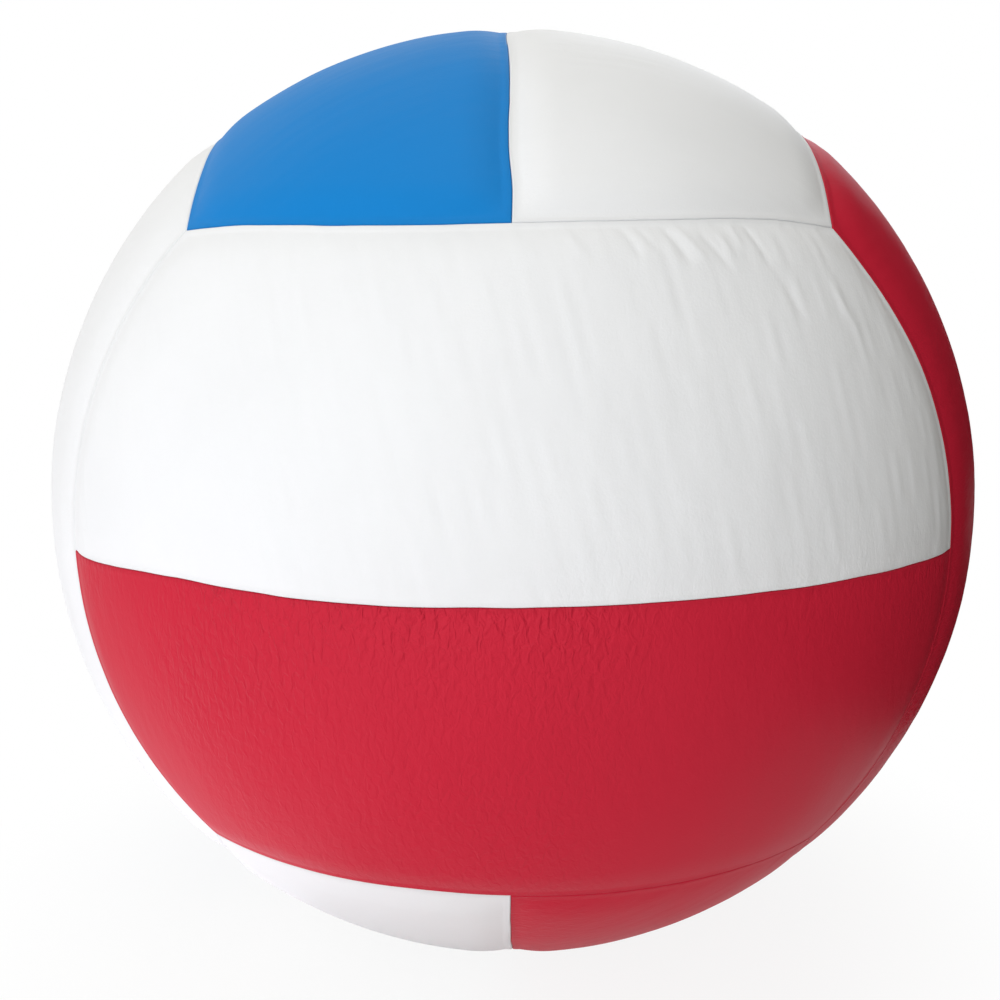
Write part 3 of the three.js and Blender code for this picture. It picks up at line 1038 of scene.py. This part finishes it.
def dress_valve():
    """Makes the valve's housing and core over their solids."""
    for name, mesh, node, body, slot in (
        ("valve_stem", housing_mesh, "valve_housing", "ball", "valve_rubber"),
        ("valve_plug", core_mesh, "valve_core", "valve_core", "core_rubber"),
    ):
        piece = new_piece(name, mesh(name))
        piece.data.materials.append(rubber_material(slot))
        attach(piece, body)
        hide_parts(node)


def dress_inner_layers():
    """Gives the layers under the backings their finishes."""
    finishes = {
        "carcass": rubber_material("carcass_rubber"),
        "thread_winding": thread_material(),
        "bladder": rubber_material("bladder_rubber"),
    }
    for node, material in finishes.items():
        layer = frame["nodes"][node]
        layer.data.materials.clear()
        layer.data.materials.append(material)


# Studio


def seen_directly(tree):
    """1 for rays from the camera, and for those that are mirrored or let through, and otherwise 0."""
    path = add_node(tree, "ShaderNodeLightPath").outputs
    mirrored = calculate(tree, "MAXIMUM", path["Is Glossy Ray"], path["Is Transmission Ray"])
    return calculate(tree, "MAXIMUM", path["Is Camera Ray"], mirrored)


def white_surroundings(sky_light):
    """A world that looks white and lights the ball softly."""
    world = bpy.data.worlds.new("white_surroundings")
    bpy.context.scene.world = world
    world.use_nodes = True
    tree = world.node_tree
    sky = mixed_colour(tree, seen_directly(tree), (*sky_light, 1), (1, 1, 1, 1))
    tree.links.new(sky, tree.nodes["Background"].inputs["Color"])


def floor_material():
    """White paper that fades into the surroundings and keeps the ball's shadow."""
    material, tree, shader = new_material("white_paper")
    place = add_node(tree, "ShaderNodeNewGeometry").outputs["Position"]
    away = add_node(tree, "ShaderNodeVectorMath", {0: place}, operation="LENGTH").outputs["Value"]
    glow = eased_range(tree, away, *FLOOR_SHADOW, *FLOOR_WHITE)
    factor = calculate(tree, "MULTIPLY", glow, seen_directly(tree))
    shader.inputs["Base Color"].default_value = (*PAPER_COLOUR, 1)
    shader.inputs["Roughness"].default_value = PAPER_ROUGHNESS
    light = add_node(tree, "ShaderNodeEmission", {"Color": (1, 1, 1, 1), "Strength": 1.0})
    mix = add_node(tree, "ShaderNodeMixShader", {0: factor, 1: shader.outputs[0], 2: light.outputs[0]})
    tree.links.new(mix.outputs[0], tree.nodes["Material Output"].inputs["Surface"])
    return material


def stage_board(name, corners, material):
    """A flat board of the studio."""
    mesh = bpy.data.meshes.new(name)
    mesh.from_pydata(corners, [], [(0, 1, 2, 3)])
    mesh.materials.append(material)
    board = bpy.data.objects.new(name, mesh)
    bpy.context.scene.collection.objects.link(board)
    board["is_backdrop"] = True
    return board


def make_floor(height):
    """A wide floor at a height."""
    half = FLOOR_HALF
    corners = [(-half, -half, height), (half, -half, height), (half, half, height), (-half, half, height)]
    stage_board("floor", corners, floor_material())


def card_material():
    """Dark card."""
    material, tree, shader = new_material("dark_card")
    fibres = noise_on(tree, object_vector(tree), 1 / CARD_FIBRE)
    level = calculate(tree, "MULTIPLY_ADD", fibres, CARD_TONE, 1.0)
    tree.links.new(darkened(tree, (*CARD_COLOUR, 1), level), shader.inputs["Base Color"])
    shader.inputs["Roughness"].default_value = 1.0
    shader.inputs["Specular IOR Level"].default_value = 0.0
    return material


def make_cards(floor_height):
    """Dark cards out of sight at the right, which keep the white from washing out the red there."""
    material = card_material()
    x, (front, back), top = CARD_PLACE, CARD_SPAN, CARD_TOP
    standing = [(x, front, floor_height), (x, back, floor_height), (x, back, top), (x, front, top)]
    near, (front, back), level = LOW_CARD_PLACE, LOW_CARD_SPAN, floor_height + LOW_CARD_LIFT
    lying = [(near, front, level), (x, front, level), (x, back, level), (near, back, level)]
    for name, corners in (("standing_card", standing), ("lying_card", lying)):
        stage_board(name, corners, material).visible_camera = False


def soft_light(name, place, size, power, colour, facing=(0, 0, 0)):
    """A square light that faces a place, and isn't seen itself."""
    light = bpy.data.lights.new(name, "AREA")
    light.size = size
    light.energy = power
    light.color = colour
    lamp = bpy.data.objects.new(name, light)
    lamp.location = place
    lamp.rotation_euler = (Vector(place) - Vector(facing)).to_track_quat("Z", "Y").to_euler()
    lamp.visible_camera = False
    bpy.context.scene.collection.objects.link(lamp)


def make_camera(studio):
    """The camera at the place it is seen from."""
    lens = bpy.data.cameras.new("camera")
    lens.lens = studio.lens
    lens.clip_start = NEAREST_SEEN
    camera = bpy.data.objects.new("camera", lens)
    camera.location = studio.camera_place
    camera.rotation_euler = studio.camera_turn
    bpy.context.scene.collection.objects.link(camera)
    bpy.context.scene.camera = camera


# Operators


class VOLLEYBALL_OT_cover_panels(bpy.types.Operator):
    """Make the twelve leather panels"""

    bl_idname = "volleyball.cover_panels"
    bl_label = "Cover panels"

    def execute(self, context):
        settings = context.scene.volleyball
        leathers = {name: leather_material(name, settings.leather) for name in ("white", "red", "blue")}
        for panel in PANELS:
            dress_panel(panel, settings.sizes, leathers[panel.leather])
        return {"FINISHED"}


class VOLLEYBALL_OT_backings(bpy.types.Operator):
    """Make the twelve foam backings under the panels"""

    bl_idname = "volleyball.backings"
    bl_label = "Backings"

    def execute(self, context):
        material = backing_material()
        for panel in PANELS:
            dress_backing(panel, context.scene.volleyball.sizes, material)
        return {"FINISHED"}


class VOLLEYBALL_OT_valve(bpy.types.Operator):
    """Make the valve's housing and core"""

    bl_idname = "volleyball.valve"
    bl_label = "Valve"

    def execute(self, context):
        dress_valve()
        return {"FINISHED"}


class VOLLEYBALL_OT_inner_layers(bpy.types.Operator):
    """Finish the carcass, the thread winding and the bladder"""

    bl_idname = "volleyball.inner_layers"
    bl_label = "Inner layers"

    def execute(self, context):
        dress_inner_layers()
        return {"FINISHED"}


class VOLLEYBALL_OT_studio(bpy.types.Operator):
    """Set the surroundings, the floor, the cards, the lights and the camera"""

    bl_idname = "volleyball.studio"
    bl_label = "Studio"

    def execute(self, context):
        studio = context.scene.volleyball.studio
        context.scene.view_settings.view_transform = "Standard"
        floor_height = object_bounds()[0].z
        white_surroundings(studio.sky_light)
        make_floor(floor_height)
        make_cards(floor_height)
        soft_light("key_light", KEY_PLACE, KEY_SIZE, studio.key_power, studio.key_tint)
        soft_light("top_light", TOP_PLACE, TOP_SIZE, studio.top_power, PLAIN_LIGHT)
        soft_light("back_light", BACK_PLACE, BACK_SIZE, studio.back_power, studio.key_tint)
        soft_light("low_light", LOW_PLACE, LOW_SIZE, studio.low_power, studio.low_tint, LOW_FACING)
        make_camera(studio)
        return {"FINISHED"}


class VOLLEYBALL_PT_sidebar(bpy.types.Panel):
    """Lists the sizes, finishes and steps of the volleyball"""

    bl_idname = "VOLLEYBALL_PT_sidebar"
    bl_label = "Volleyball"
    bl_space_type = "VIEW_3D"
    bl_region_type = "UI"
    bl_category = "Volleyball"

    def draw(self, context):
        settings = context.scene.volleyball
        for group in (settings.sizes, settings.leather, settings.studio):
            box = self.layout.box()
            for name in group.__annotations__:
                box.prop(group, name)
        for operator in OPERATORS:
            self.layout.operator(operator.bl_idname)


OPERATORS = (
    VOLLEYBALL_OT_cover_panels,
    VOLLEYBALL_OT_backings,
    VOLLEYBALL_OT_valve,
    VOLLEYBALL_OT_inner_layers,
    VOLLEYBALL_OT_studio,
)
CLASSES = (BallSizes, LeatherLooks, StudioSetup, VolleyballSettings, *OPERATORS, VOLLEYBALL_PT_sidebar)


def register():
    for cls in CLASSES:
        bpy.utils.register_class(cls)
    bpy.types.Scene.volleyball = PointerProperty(type=VolleyballSettings)


def unregister():
    del bpy.types.Scene.volleyball
    for cls in reversed(CLASSES):
        bpy.utils.unregister_class(cls)


def main():
    """Builds the ball and its studio."""
    register()
    bpy.ops.volleyball.cover_panels()
    bpy.ops.volleyball.backings()
    bpy.ops.volleyball.valve()
    bpy.ops.volleyball.inner_layers()
    bpy.ops.volleyball.studio()


if __name__ == "__main__":
    main()
